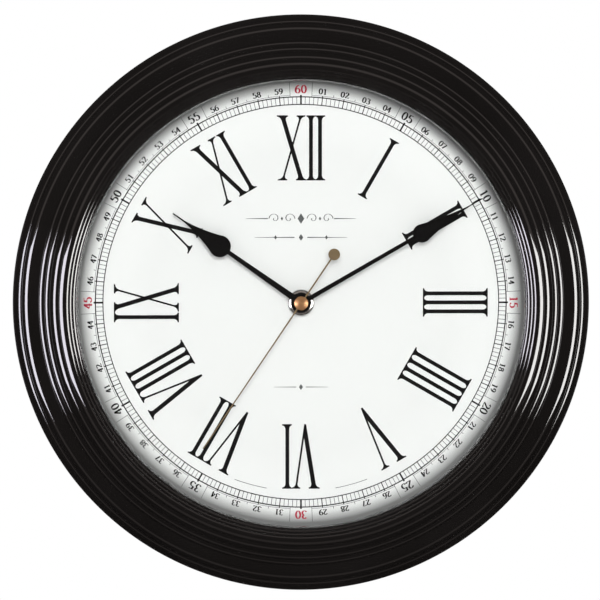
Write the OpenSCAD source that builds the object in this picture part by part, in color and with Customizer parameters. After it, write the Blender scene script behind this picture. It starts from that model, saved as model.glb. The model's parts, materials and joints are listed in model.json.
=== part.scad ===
// Round wall clock: a stepped moulded frame, a glass lens, a printed dial, three
// hands and a battery quartz movement. Every piece is drawn with the clock on its
// back, x to the right, y up the dial and z from the wall to the viewer, and
// stand() turns it upright: its front then looks along -Y and the wall is at +Y.

/* [Frame] */
// Diameter of the dial opening inside the lip
opening_d = 235.6; // [196:0.1:283]
// Width of the moulding from the lip to the outer edge
moulding_w = 34.7; // [28.9:0.1:41.7]
// Rise of the moulding from its outer edge to its crest
moulding_h = 15.5; // [12.9:0.1:18.6]
// Wall thickness of the moulded frame
frame_wall = 2.6; // [2:0.1:3.2]
// Draft of the skirt behind the outer edge, in degrees
skirt_draft = 10; // [6:0.5:12]
// Thickness of the lip in front of the lens
lip_t = 2.1; // [1.7:0.1:2.6]

/* [Lens and dial] */
// How far the lens reaches under the lip
lens_seat = 4; // [3.2:0.1:5]
// Thickness of the lens
lens_t = 2; // [1.6:0.1:2.5]
// Thickness of the lens gasket
gasket_t = 0.5; // [0.4:0.05:0.7]
// Width of the lens gasket
gasket_w = 2.6; // [2:0.1:3]
// Width of the ring that holds the lens off the dial
spacer_w = 2.4; // [2:0.1:2.9]
// Thickness of the dial sheet
dial_t = 0.6; // [0.4:0.05:0.8]
// Free height between the second-hand cap and the lens
lens_gap = 2.4; // [1.5:0.1:4]

/* [Back] */
// Thickness of the back plate
back_t = 2; // [1.6:0.1:2.5]
// Height of the back plate's outer rib
back_rib_h = 5; // [4:0.1:6]
// Width of the hanger pocket block
hanger_w = 46; // [38.5:0.5:55]
// Height of the hanger pocket block
hanger_h = 26; // [24:0.5:31]
// Thickness of the hanger plate
hanger_t = 1.2; // [1:0.1:1.5]
// Distance of the hanger plate's rear face from the wall
hanger_gap = 2.4; // [2:0.1:3]
// Radius of the keyhole's entry hole
keyhole_r = 4.5; // [3.8:0.1:5]
// Width of the keyhole's slot
keyhole_slot = 4.4; // [3.7:0.1:5]
// Rise from the entry hole to the top of the slot
keyhole_rise = 9; // [7.5:0.1:9.5]

/* [Screws] */
// Number of back screws
screw_n = 6; // [4:1:8]
// Shank radius of the screws
screw_r = 1.4; // [1.2:0.05:1.6]
// Head radius of the screws
screw_head_r = 2.9; // [2.5:0.1:3.4]
// Head height of the screws
screw_head_h = 1.3; // [1.1:0.1:1.6]
// Length of the back screws under the head
screw_len = 9; // [7.5:0.5:10.5]

/* [Movement case] */
// Width and height of the movement
movement_w = 56; // [55:0.5:62]
// Thickness of the movement
movement_t = 16; // [16:0.1:19.2]
// Gap between the movement and the wall
movement_gap = 5; // [4.2:0.1:6]
// Wall thickness of the movement case
movement_wall = 1.2; // [1:0.1:1.4]
// Height of the case above the hand shaft
movement_top = 19; // [18.5:0.1:21]
// Thickness of the rubber washer in front of the movement
rubber_t = 0.5; // [0.4:0.1:0.8]
// Radius of the threaded centre bush
bush_r = 4; // [3.5:0.1:4.5]
// Radius of the hand nut
nut_r = 7; // [6:0.1:8.4]
// Thickness of the hand nut
nut_t = 2.7; // [2.3:0.1:3.2]
// Thickness of the brass washer under the nut
washer_t = 0.6; // [0.5:0.1:0.8]

/* [Battery] */
// Diameter of the cell
cell_d = 14.5; // [12.1:0.1:14.6]
// Length of the cell without its nub
cell_len = 49.5; // [45:0.1:50.5]
// Length of the cell's nub
nub_len = 1; // [0.8:0.1:1.4]

/* [Hands] */
// Gap between the tip of the minute hand and the lip
minute_tip_gap = 7; // [5:0.1:12]
// Gap between the tip of the hour hand and the lip
hour_tip_gap = 35; // [28:0.1:42]
// Gap between the tip of the second hand and the lip
second_tip_gap = 24.8; // [10:0.1:30]
// Radius of the hour hand's drop
hour_drop_r = 5.8; // [4.8:0.1:7]
// Radius of the minute hand's drop
minute_drop_r = 4.9; // [4.1:0.1:5.9]
// Width of the second hand
second_w = 0.85; // [0.7:0.05:1.1]
// Thickness of the hour and minute hands
hand_t = 0.5; // [0.4:0.05:0.6]
// Clear height between one hand and the next
hand_gap = 1.2; // [1:0.1:1.5]
// Radius of the second-hand cap
cap_r = 3.65; // [3:0.05:4.4]
// Angle of the hour hand, clockwise from twelve
hour_angle = 305; // [0:0.5:360]
// Angle of the minute hand, clockwise from twelve
minute_angle = 60; // [0:0.5:360]
// Angle of the second hand, clockwise from twelve
second_angle = 214; // [0:0.5:360]

/* [Shafts] */
// Radius of the second arbor
second_arbor_r = 0.5; // [0.4:0.05:0.6]
// Outer radius of the minute pipe
minute_pipe_r = 1.6; // [1.35:0.05:1.65]
// Outer radius of the hour pipe
hour_pipe_r = 2.5; // [2.3:0.05:2.7]
// Radius of the other arbors' pivots
pivot_r = 0.4; // [0.35:0.05:0.5]
// Radius of the setting shaft
setting_r = 1.5; // [1.25:0.05:1.8]
// Radius of the setting knob
knob_r = 6.5; // [5.5:0.1:7.8]

/* [Gears] */
// Module of the motion work: minute pipe, motion wheel, hour wheel and setting pinion
motion_module = 0.4; // [0.38:0.01:0.42]
// Module of the third wheel and the second pinion
third_module = 0.29; // [0.28:0.005:0.3]
// Module of the second wheel and the step pinion
second_module = 0.28; // [0.275:0.005:0.285]
// Module of the step wheel and the rotor pinion
step_module = 0.25; // [0.24:0.005:0.26]
// Face width of the wheels
wheel_t = 0.8; // [0.7:0.05:0.9]

/* [Fits] */
// Radial clearance of every running fit
run_gap = 0.07; // [0.05:0.01:0.1]
// Radial clearance of pieces that are assembled and stay put
seat_gap = 0.02; // [0.01:0.01:0.05]
// Radial clearance of the lens, the spacer ring and the dial in the frame
glazing_gap = 0.4; // [0.3:0.05:0.6]
// Clearance of the screws in their plates
screw_gap = 0.3; // [0.2:0.05:0.4]

/* [Hidden] */
big_fn = 180;
small_fn = 48;
eps = 0.01;

// Heights from the wall
layer_gap = 0.3;
thread_show = 0.3;
collar_t = 0.5;
second_t = 0.4;
cap_h = 1.5;
cap_rim = 0.4;
cap_dome_h = cap_h - cap_rim;
cap_dome_r = (cap_r * cap_r + cap_dome_h * cap_dome_h) / (2 * cap_dome_h);
movement_z = movement_gap;
case_z = movement_z + movement_wall;
front_z = movement_z + movement_t;
inside_z = front_z - movement_wall;
back_z = front_z + rubber_t;
dial_z = back_z + back_t;
face_z = dial_z + dial_t;
nut_z = face_z + washer_t;
bush_end_z = nut_z + nut_t + thread_show;
hour_collar_z = bush_end_z + layer_gap;
hour_hand_z = hour_collar_z + collar_t;
minute_collar_z = hour_hand_z + hand_t + hand_gap - collar_t;
minute_hand_z = minute_collar_z + collar_t;
second_hand_z = minute_hand_z + hand_t + hand_gap;
cap_z = second_hand_z + second_t;
lens_z = cap_z + cap_h + lens_gap;
gasket_z = lens_z + lens_t;
seat_z = gasket_z + gasket_t;

// Radii of the case
opening_r = opening_d / 2;
well_r = opening_r + lens_seat + glazing_gap;
glazing_r = opening_r + lens_seat;
well_wall_r = well_r + frame_wall;
edge_r = opening_r + moulding_w;

// The moulding is a row of beads. Each is its distance out from the lip, its height
// above the outer edge and its radius, as shares of the width, the rise and the width.
lip_bead = [0.020, 0.619, 0.020];
inner_beads = [[0.063, 0.697, 0.026], [0.115, 0.755, 0.026], [0.170, 0.813, 0.026]];
crest_bead = [0.265, 0.832, 0.075];
outer_beads = [[0.360, 0.703, 0.037], [0.484, 0.568, 0.029], [0.571, 0.452, 0.029]];
round_bead = [0.726, 0.032, 0.173];
edge_beads = [[0.899, 0.103, 0.046], [0.957, 0, 0.043]];
beads = concat([lip_bead], inner_beads, [crest_bead], outer_beads, [round_bead], edge_beads);
edge_z = seat_z + lip_t - lip_bead[1] * moulding_h;
skirt_r = edge_r - edge_z * tan(skirt_draft);
function bead_at(b) = [opening_r + b[0] * moulding_w, edge_z + b[1] * moulding_h];
function bead_r(b) = b[2] * moulding_w;

// Back plate and its screws
back_gap = 0.8;
back_r = skirt_r - frame_wall - back_gap;
boss_pitch_r = (well_wall_r + back_r) / 2;
screw_start = 90 + 180 / screw_n;
boss_wall = 2.8;
boss_r = screw_r + boss_wall;
boss_top = edge_z + 0.4 * moulding_h;
screw_end_gap = 0.6;
boss_depth = screw_len - back_t + screw_end_gap;
back_rib_w = 2;
rail_h = 4;
rail_t = 2;
rail_gap = 0.5;
hanger_inset = 2;
hanger_y = back_r - back_rib_w - hanger_h / 2 - hanger_inset;
hanger_z = hanger_gap + hanger_t;
hanger_wall = 2.2;
hanger_post_sink = 0.7;
hanger_screw_x = hanger_w / 2 - hanger_wall - screw_head_r + hanger_post_sink;
hanger_screw_len = hanger_t + 6;
hanger_hole_depth = 8;
keyhole_y = hanger_y - keyhole_rise / 2;

// Movement case and battery bay
movement_x = movement_w / 2;
movement_low = movement_top - movement_w;
rail_x = movement_x + rail_gap + rail_t / 2;
bay_wall = 1;
bay_gap = 0.5;
bay_low = movement_low + bay_wall;
bay_high = bay_low + cell_d + 2 * bay_gap;
cell_y = bay_low + bay_gap + cell_d / 2;
cell_z = inside_z - cell_d / 2 - 0.1;
contact_t = 0.4;
contact_gap = 0.6;
contact_margin = 2;
contact_x = movement_x - movement_wall - contact_t - contact_gap;
contact_z = cell_z - 5;
cell_x = contact_x - nub_len - cell_len;
train_low = bay_high + movement_wall;
train_high = movement_top - movement_wall;
train_x = movement_x - movement_wall;
posts = [[-23.5, 14.4], [23.5, 14.4], [-23.5, -2.2], [-2.4, -16.2]];
post_r = 1.5;
notch_w = 18;
nub_r = 2.75;

// Gears: numbers of teeth, axes and heights
rotor_teeth = 10;
step_teeth = 50;
step_pinion_teeth = 10;
second_teeth = 60;
second_pinion_teeth = 8;
third_teeth = 60;
third_pinion_teeth = 8;
centre_teeth = 64;
minute_teeth = 10;
motion_teeth = 30;
motion_pinion_teeth = 8;
hour_teeth = 32;
setting_teeth = 12;
tooth_tip = 0.11;
tooth_root = 0.25;
addendum = 0.75;
dedendum = 1.05;

third_reach = third_module * (second_pinion_teeth + third_teeth) / 2;
centre_module = 2 * third_reach / (third_pinion_teeth + centre_teeth);
step_reach = second_module * (second_teeth + step_pinion_teeth) / 2;
rotor_reach = step_module * (step_teeth + rotor_teeth) / 2;
motion_reach = motion_module * (minute_teeth + motion_teeth) / 2;
setting_reach = motion_module * (motion_teeth + setting_teeth) / 2;
third_dir = 160;
step_dir = 60;
rotor_dir = -10;
motion_dir = -90;
setting_dir = -15;
function polar(r, a) = [r * cos(a), r * sin(a)];
third_at = polar(third_reach, third_dir);
step_at = polar(step_reach, step_dir);
rotor_at = step_at + polar(rotor_reach, rotor_dir);
motion_at = polar(motion_reach, motion_dir);
setting_at = motion_at + polar(setting_reach, setting_dir);

// Phase that puts gear b in mesh with gear a, on the line of centres dir from a to b
function mesh(dir, phase_a, teeth_a, teeth_b) =
    dir + 180 + ((dir - phase_a) * teeth_a / 360 + 0.5) * 360 / teeth_b;
second_pinion_phase = third_dir;
third_phase = mesh(third_dir, second_pinion_phase, second_pinion_teeth, third_teeth);
centre_phase = mesh(third_dir + 180, third_phase, third_pinion_teeth, centre_teeth);
second_phase = step_dir;
step_pinion_phase = mesh(step_dir, second_phase, second_teeth, step_pinion_teeth);
step_phase = rotor_dir;
rotor_phase = mesh(rotor_dir, step_phase, step_teeth, rotor_teeth);
minute_phase = motion_dir;
motion_phase = mesh(motion_dir, minute_phase, minute_teeth, motion_teeth);
motion_pinion_phase = motion_dir;
hour_phase = mesh(motion_dir + 180, motion_pinion_phase, motion_pinion_teeth, hour_teeth);
setting_phase = mesh(setting_dir, motion_phase, motion_teeth, setting_teeth);

bridge_t = 0.8;
bridge_gap = 0.4;
hour_wheel_z = inside_z - 2 * layer_gap - wheel_t;
minute_pinion_z = hour_wheel_z - 2 * layer_gap - wheel_t;
bridge_z = minute_pinion_z - layer_gap - bridge_t;
centre_wheel_z = bridge_z - layer_gap - 0.5 - wheel_t;
third_wheel_z = centre_wheel_z - 2 * layer_gap - wheel_t;
step_wheel_z = third_wheel_z - layer_gap - wheel_t;
second_wheel_z = step_wheel_z - 2 * layer_gap - wheel_t;
stator_t = 1;
stator_z = second_wheel_z - 2 * layer_gap - stator_t;
magnet_z = stator_z - 0.8;
magnet_h = stator_t + 1.6;
magnet_r = 3;
pivot_low = movement_z + 0.3;
pivot_high = bridge_z + bridge_t - 0.2;
pivot_front = front_z - 0.6;
hole_front = front_z - 0.4;
arbor_in_cap = 0.5;
core_z = stator_z + stator_t;
core_w = 2.8;
core_h = 1.2;
bobbin_r = 2.4;
flange_t = 0.8;
coil_x = 20.4;
coil_low = -12.4;
coil_high = 2;
coil_r = 3.9;
board_t = 0.8;
board_gap = 0.6;
board_z = stator_z - board_t - 0.1;

// Hands: widths are of the arm at the boss, of the arm at the drop and of the tip
hour_drop_share = 0.634;
hour_boss_w = 2.1;
hour_arm = [3.5, 2.1, 0.8];
minute_drop_share = 0.667;
minute_boss_w = 3.3;
minute_arm = [2.4, 2, 0.6];
collar_w = 1.4;

// --- Shared shapes -------------------------------------------------------------

module stand() {
    rotate([90, 0, 0])
        children();
}

module ring(z, h, outer, inner, fn = big_fn) {
    translate([0, 0, z])
        difference() {
            cylinder(h = h, r = outer, $fn = fn);
            translate([0, 0, -1])
                cylinder(h = h + 2, r = inner, $fn = fn);
        }
}

module rod(at, z0, z1, r, fn = small_fn) {
    translate([at[0], at[1], z0])
        cylinder(h = z1 - z0, r = r, $fn = fn);
}

module block(x0, x1, y0, y1, z0, z1) {
    translate([x0, y0, z0])
        cube([x1 - x0, y1 - y0, z1 - z0]);
}

// A spur gear: lean straight-sided teeth, with one tooth centred on the phase
module gear(at, z, h, teeth, m, phase) {
    pitch_r = m * teeth / 2;
    tip_r = pitch_r + addendum * m;
    root_r = pitch_r - dedendum * m;
    flank = [[-tooth_root, root_r], [-tooth_tip, tip_r], [tooth_tip, tip_r], [tooth_root, root_r]];
    translate([at[0], at[1], z])
        rotate([0, 0, phase])
            linear_extrude(h)
                polygon([for (i = [0:teeth - 1], f = flank) polar(f[1], (i + f[0]) * 360 / teeth)]);
}

// Positions of n things on a circle, the first at angle start
module around(n, r, start = 0) {
    for (i = [0:n - 1])
        rotate([0, 0, start + i * 360 / n])
            translate([r, 0, 0])
                children();
}

// A pan-head screw that points along +z, its head's underside at z = 0
module screw(len) {
    head_bevel = 0.5;
    tip_r = 0.3;
    slot_w = 0.6;
    slot_deep = 0.7;
    difference() {
        union() {
            translate([0, 0, -screw_head_h])
                cylinder(h = screw_head_h, r1 = screw_head_r - head_bevel, r2 = screw_head_r,
                    $fn = small_fn);
            cylinder(h = len - screw_r, r = screw_r, $fn = small_fn);
            translate([0, 0, len - screw_r])
                cylinder(h = screw_r, r1 = screw_r, r2 = tip_r, $fn = small_fn);
        }
        for (a = [0, 90])
            rotate([0, 0, a])
                translate([-screw_head_r * 0.55, -slot_w / 2, -screw_head_h - 1])
                    cube([screw_head_r * 1.1, slot_w, slot_deep + 1]);
    }
}

// --- Case ----------------------------------------------------------------------

module moulding_section() {
    polygon(concat(
        [[opening_r, seat_z]],
        [for (b = beads) bead_at(b)],
        [[edge_r, edge_z], [skirt_r, 0], [skirt_r - frame_wall, 0]],
        [[edge_r - frame_wall, edge_z - frame_wall / 2]],
        [for (b = [outer_beads[2], outer_beads[1], outer_beads[0], crest_bead])
            bead_at(b) - [0, frame_wall]],
        [[well_wall_r, seat_z], [well_wall_r, dial_z], [well_r, dial_z], [well_r, seat_z]]
    ));
    for (b = beads)
        translate(bead_at(b))
            circle(r = bead_r(b), $fn = 64);
}

module case_frame() {
    color([0.09, 0.07, 0.065])
    stand()
        difference() {
            union() {
                rotate_extrude($fn = big_fn)
                    difference() {
                        moulding_section();
                        translate(bead_at(round_bead))
                            circle(r = bead_r(round_bead) - frame_wall, $fn = 64);
                    }
                around(screw_n, boss_pitch_r, screw_start)
                    translate([0, 0, dial_z])
                        cylinder(h = boss_top - dial_z, r = boss_r, $fn = small_fn);
            }
            around(screw_n, boss_pitch_r, screw_start)
                translate([0, 0, dial_z - 1])
                    cylinder(h = boss_depth + 1, r = screw_r + seat_gap, $fn = small_fn);
        }
}

module lens_gasket() {
    color([0.12, 0.12, 0.12])
    stand()
        ring(gasket_z, gasket_t, glazing_r, glazing_r - gasket_w);
}

module lens_glass() {
    color([0.85, 0.92, 0.95, 0.3])
    stand()
        translate([0, 0, lens_z])
            cylinder(h = lens_t, r = glazing_r, $fn = big_fn);
}

module spacer_ring() {
    color([0.1, 0.1, 0.1])
    stand()
        ring(face_z, lens_z - face_z, glazing_r, glazing_r - spacer_w);
}

module dial() {
    color([0.96, 0.97, 0.96])
    stand()
        ring(dial_z, dial_t, glazing_r, bush_r + screw_gap);
}

module back_plate() {
    color([0.13, 0.13, 0.13])
    stand()
        difference() {
            union() {
                rotate_extrude($fn = big_fn)
                    polygon([[bush_r + screw_gap, back_z], [back_r - back_rib_w, back_z],
                        [back_r - back_rib_w, back_z - back_rib_h], [back_r, back_z - back_rib_h],
                        [back_r, dial_z], [bush_r + screw_gap, dial_z]]);
                block(-hanger_w / 2, hanger_w / 2, hanger_y - hanger_h / 2,
                    hanger_y + hanger_h / 2, hanger_z, back_z + back_t / 2);
                for (side = [-1, 1])
                    block(side * rail_x - rail_t / 2, side * rail_x + rail_t / 2,
                        movement_low, movement_top, back_z - rail_h, back_z + back_t / 2);
            }
            difference() {
                block(-hanger_w / 2 + hanger_wall, hanger_w / 2 - hanger_wall,
                    hanger_y - hanger_h / 2 + hanger_wall, hanger_y + hanger_h / 2 - hanger_wall,
                    hanger_z - 1, back_z);
                for (side = [-1, 1])
                    rod([side * hanger_screw_x, hanger_y], hanger_z - 2, back_z + 1, screw_head_r);
            }
            for (side = [-1, 1])
                rod([side * hanger_screw_x, hanger_y], hanger_z - 1,
                    hanger_z + hanger_hole_depth, screw_r + seat_gap);
            around(screw_n, boss_pitch_r, screw_start)
                translate([0, 0, back_z - 1])
                    cylinder(h = back_t + 2, r = screw_r + screw_gap, $fn = small_fn);
        }
}

module back_screws() {
    color([0.7, 0.7, 0.72])
    stand()
        around(screw_n, boss_pitch_r, screw_start)
            translate([0, 0, back_z])
                screw(screw_len);
}

module hanger_plate() {
    color([0.75, 0.75, 0.77])
    stand()
        difference() {
            block(-hanger_w / 2, hanger_w / 2, hanger_y - hanger_h / 2,
                hanger_y + hanger_h / 2, hanger_gap, hanger_z);
            rod([0, keyhole_y], hanger_gap - 1, hanger_z + 1, keyhole_r);
            rod([0, keyhole_y + keyhole_rise], hanger_gap - 1, hanger_z + 1, keyhole_slot / 2);
            block(-keyhole_slot / 2, keyhole_slot / 2, keyhole_y, keyhole_y + keyhole_rise,
                hanger_gap - 1, hanger_z + 1);
            for (side = [-1, 1])
                rod([side * hanger_screw_x, hanger_y], hanger_gap - 1, hanger_z + 1,
                    screw_r + screw_gap);
        }
}

module hanger_screws() {
    color([0.7, 0.7, 0.72])
    stand()
        for (side = [-1, 1])
            translate([side * hanger_screw_x, hanger_y, hanger_gap])
                screw(hanger_screw_len);
}

// --- Movement case and electrics -----------------------------------------------

module movement_case() {
    color([0.1, 0.1, 0.1])
    stand()
        difference() {
            union() {
                difference() {
                    block(-movement_x, movement_x, movement_low, movement_top, case_z, front_z);
                    block(-train_x, train_x, train_low, train_high, case_z - 1, inside_z);
                    block(-train_x, train_x, bay_low, bay_high, case_z - 1, inside_z);
                    block(-notch_w / 2, notch_w / 2, movement_low - 1, bay_low + 1,
                        case_z - 1, cell_z);
                }
                for (p = posts)
                    rod(p, bridge_z + bridge_t, inside_z + eps, post_r);
            }
            rod([0, 0], inside_z - 1, front_z + 1, bush_r + seat_gap);
            for (p = [motion_at, setting_at])
                rod(p, inside_z - 1, hole_front, pivot_r + run_gap);
        }
}

module movement_cover() {
    color([0.13, 0.13, 0.13])
    stand()
        difference() {
            union() {
                block(-movement_x, movement_x, bay_high, movement_top, movement_z, case_z);
                for (p = posts)
                    rod(p, case_z - eps, bridge_z, post_r);
            }
            rod([0, 0], movement_z - 1, case_z + 1, second_arbor_r + run_gap);
            for (p = [third_at, step_at, rotor_at])
                rod(p, movement_z - 1, case_z + 1, pivot_r + run_gap);
            rod(setting_at, movement_z - 1, case_z + 1, setting_r + run_gap);
        }
}

module train_bridge() {
    color([0.85, 0.85, 0.8])
    stand()
        difference() {
            block(-train_x + bridge_gap, train_x - bridge_gap, train_low + bridge_gap,
                train_high - bridge_gap, bridge_z, bridge_z + bridge_t);
            rod([0, 0], bridge_z - 1, bridge_z + 2, minute_pipe_r + run_gap);
            for (p = [third_at, step_at, rotor_at, motion_at])
                rod(p, bridge_z - 1, bridge_z + 2, pivot_r + run_gap);
            rod(setting_at, bridge_z - 1, bridge_z + 2, setting_r + run_gap);
        }
}

module centre_bush() {
    thread_pitch = 0.75;
    thread_h = 0.3;
    color([0.8, 0.65, 0.35])
    stand()
        difference() {
            union() {
                translate([0, 0, inside_z])
                    cylinder(h = bush_end_z - inside_z, r = bush_r - thread_h, $fn = small_fn);
                translate([0, 0, inside_z])
                    cylinder(h = front_z - inside_z, r = bush_r, $fn = small_fn);
                for (z = [front_z:thread_pitch:bush_end_z - thread_pitch])
                    translate([0, 0, z]) {
                        cylinder(h = thread_pitch / 2, r1 = bush_r - thread_h, r2 = bush_r,
                            $fn = small_fn);
                        translate([0, 0, thread_pitch / 2])
                            cylinder(h = thread_pitch / 2, r1 = bush_r, r2 = bush_r - thread_h,
                                $fn = small_fn);
                    }
            }
            translate([0, 0, inside_z - 1])
                cylinder(h = bush_end_z - inside_z + 2, r = hour_pipe_r + run_gap, $fn = small_fn);
        }
}

module rubber_washer() {
    rubber_w = 6;
    color([0.06, 0.06, 0.06])
    stand()
        ring(front_z, rubber_t, bush_r + rubber_w, bush_r + seat_gap, small_fn);
}

module nut_washer() {
    inset = 0.6;
    color([0.8, 0.65, 0.35])
    stand()
        ring(face_z, washer_t, nut_r - inset, bush_r + screw_gap, small_fn);
}

module hand_nut() {
    bevel = 0.8;
    color([0.4, 0.4, 0.42])
    stand()
        translate([0, 0, nut_z])
            difference() {
                union() {
                    cylinder(h = nut_t - bevel, r = nut_r, $fn = 72);
                    translate([0, 0, nut_t - bevel])
                        cylinder(h = bevel, r1 = nut_r, r2 = nut_r - bevel, $fn = 72);
                }
                translate([0, 0, -1])
                    cylinder(h = nut_t + 2, r = bush_r + seat_gap, $fn = 72);
            }
}

module stator() {
    magnet_gap = 0.5;
    lobe_w = 2.1;
    bar_w = 4;
    bar_low = 3;
    bar_right = coil_x + 2;
    foot_high = -13.4;
    foot_low = -16.6;
    leg = [11.4, 14.6];
    color([0.62, 0.6, 0.58])
    stand()
        difference() {
            union() {
                rod(rotor_at, stator_z, core_z, magnet_r + magnet_gap + lobe_w);
                block(rotor_at[0], bar_right, bar_low, bar_low + bar_w, stator_z, core_z);
                block(leg[0], leg[1], foot_low, bar_low + bar_w / 2, stator_z, core_z);
                block(leg[0], bar_right, foot_low, foot_high, stator_z, core_z);
                block(coil_x - core_w / 2, coil_x + core_w / 2, foot_low, bar_low + bar_w,
                    core_z - eps, core_z + core_h);
            }
            rod(rotor_at, stator_z - 1, core_z + 1, magnet_r + magnet_gap);
        }
}

module coil_bobbin() {
    slot = [core_w + 2 * seat_gap, core_h + 2 * seat_gap, coil_high - coil_low + 2];
    color([0.2, 0.35, 0.25])
    stand()
        translate([coil_x, 0, core_z + core_h / 2])
            rotate([-90, 0, 0])
                translate([0, 0, coil_low])
                    difference() {
                        union() {
                            cylinder(h = coil_high - coil_low, r = bobbin_r, $fn = small_fn);
                            cylinder(h = flange_t, r = coil_r, $fn = small_fn);
                            translate([0, 0, coil_high - coil_low - flange_t])
                                cylinder(h = flange_t, r = coil_r, $fn = small_fn);
                        }
                        translate([-slot[0] / 2, -slot[1] / 2, -1])
                            cube(slot);
                    }
}

module coil_winding() {
    flange_show = 0.3;
    color([0.72, 0.4, 0.2])
    stand()
        translate([coil_x, 0, core_z + core_h / 2])
            rotate([-90, 0, 0])
                ring(coil_low + flange_t, coil_high - coil_low - 2 * flange_t,
                    coil_r - flange_show, bobbin_r, small_fn);
}

module circuit_board() {
    board_right = -9;
    board_high = -5.8;
    color([0.1, 0.35, 0.2])
    stand()
        block(-train_x + board_gap, board_right, train_low + board_gap, board_high,
            board_z, board_z + board_t);
}

module quartz_crystal() {
    can_r = 1;
    can_len = 6;
    color([0.8, 0.8, 0.82])
    stand()
        translate([-23, -9, board_z + board_t + can_r])
            rotate([0, 90, 0])
                cylinder(h = can_len, r = can_r, $fn = small_fn);
}

module chip_cap() {
    drop_r = 2.4;
    drop_h = 0.9;
    color([0.05, 0.05, 0.05])
    stand()
        translate([-13, -12, board_z + board_t])
            cylinder(h = drop_h, r1 = drop_r, r2 = drop_r - drop_h, $fn = small_fn);
}

module contact_positive() {
    lead_w = 0.8;
    lead_h = 1.4;
    lead_y = bay_high - 1.4;
    color([0.8, 0.8, 0.78])
    stand() {
        block(contact_x, contact_x + contact_t, bay_low + contact_margin,
            bay_high - contact_margin, contact_z, inside_z);
        block(-train_x + 4, contact_x + contact_t, lead_y, lead_y + lead_w,
            inside_z - lead_h, inside_z);
        block(contact_x, contact_x + contact_t, bay_high - contact_margin - eps,
            lead_y + lead_w, inside_z - lead_h, inside_z);
    }
}

module contact_negative() {
    base_x = -contact_x - contact_t;
    spring_w = 6;
    color([0.8, 0.8, 0.78])
    stand() {
        block(base_x, base_x + contact_t, bay_low + contact_margin, bay_high - contact_margin,
            contact_z, inside_z);
        translate([0, cell_y + spring_w / 2, 0])
            rotate([90, 0, 0])
                linear_extrude(spring_w)
                    polygon([[base_x + contact_t / 2, contact_z],
                        [cell_x - contact_t, cell_z], [cell_x, cell_z],
                        [base_x + contact_t + 0.5, contact_z]]);
    }
}

module battery() {
    color([0.15, 0.2, 0.25])
    stand()
        translate([cell_x, cell_y, cell_z])
            rotate([0, 90, 0]) {
                cylinder(h = cell_len, r = cell_d / 2, $fn = 72);
                translate([0, 0, cell_len - eps])
                    cylinder(h = nub_len + eps, r = nub_r, $fn = small_fn);
            }
}

// --- Wheels ----------------------------------------------------------------------

module rotor_pinion() {
    color([0.9, 0.9, 0.85])
    stand() {
        rod(rotor_at, pivot_low, magnet_z, pivot_r);
        rod(rotor_at, magnet_z - eps, step_wheel_z - 0.5, pivot_r + 0.2);
        gear(rotor_at, step_wheel_z - 0.5 - eps, wheel_t + 1.1, rotor_teeth, step_module, rotor_phase);
        rod(rotor_at, step_wheel_z + wheel_t, pivot_high, pivot_r);
    }
}

module rotor_magnet() {
    color([0.35, 0.35, 0.37])
    stand()
        translate([rotor_at[0], rotor_at[1], 0])
            ring(magnet_z, magnet_h, magnet_r, pivot_r + 0.2, small_fn);
}

module step_wheel() {
    color([0.92, 0.9, 0.8])
    stand() {
        rod(step_at, pivot_low, pivot_high, pivot_r);
        gear(step_at, step_wheel_z, wheel_t, step_teeth, step_module, step_phase);
        gear(step_at, second_wheel_z - 0.3, step_wheel_z - second_wheel_z + 0.3 + eps,
            step_pinion_teeth, second_module, step_pinion_phase);
    }
}

module second_wheel() {
    color([0.92, 0.9, 0.8])
    stand() {
        rod([0, 0], pivot_low, cap_z + arbor_in_cap, second_arbor_r);
        gear([0, 0], second_wheel_z, wheel_t, second_teeth, second_module, second_phase);
        gear([0, 0], second_wheel_z + wheel_t - eps,
            third_wheel_z - second_wheel_z + 0.1, second_pinion_teeth, third_module,
            second_pinion_phase);
    }
}

module third_wheel() {
    color([0.92, 0.9, 0.8])
    stand() {
        rod(third_at, pivot_low, pivot_high, pivot_r);
        gear(third_at, third_wheel_z, wheel_t, third_teeth, third_module, third_phase);
        gear(third_at, third_wheel_z + wheel_t - eps, centre_wheel_z - third_wheel_z + 0.2,
            third_pinion_teeth, centre_module, third_phase);
    }
}

module centre_wheel() {
    hub_r = minute_pipe_r + 0.9;
    color([0.92, 0.9, 0.8])
    stand()
        difference() {
            union() {
                gear([0, 0], centre_wheel_z, wheel_t, centre_teeth, centre_module, centre_phase);
                rod([0, 0], centre_wheel_z, centre_wheel_z + wheel_t + 0.4, hub_r);
            }
            rod([0, 0], centre_wheel_z - 1, bridge_z, minute_pipe_r + run_gap);
        }
}

module minute_pipe() {
    color([0.85, 0.8, 0.6])
    stand()
        difference() {
            union() {
                rod([0, 0], centre_wheel_z - 0.2, minute_hand_z + hand_t + 0.2, minute_pipe_r);
                gear([0, 0], minute_pinion_z, wheel_t, minute_teeth, motion_module, minute_phase);
            }
            rod([0, 0], centre_wheel_z - 1, second_hand_z, second_arbor_r + run_gap);
        }
}

module motion_wheel() {
    color([0.92, 0.9, 0.8])
    stand() {
        rod(motion_at, bridge_z + 0.1, pivot_front, pivot_r);
        gear(motion_at, minute_pinion_z, wheel_t, motion_teeth, motion_module, motion_phase);
        gear(motion_at, minute_pinion_z + wheel_t - eps, hour_wheel_z - minute_pinion_z + 0.1,
            motion_pinion_teeth, motion_module, motion_pinion_phase);
    }
}

module hour_wheel() {
    color([0.9, 0.86, 0.7])
    stand()
        difference() {
            union() {
                gear([0, 0], hour_wheel_z, wheel_t, hour_teeth, motion_module, hour_phase);
                rod([0, 0], hour_wheel_z, hour_hand_z + hand_t + 0.2, hour_pipe_r);
            }
            rod([0, 0], hour_wheel_z - 1, minute_hand_z, minute_pipe_r + run_gap);
        }
}

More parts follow.
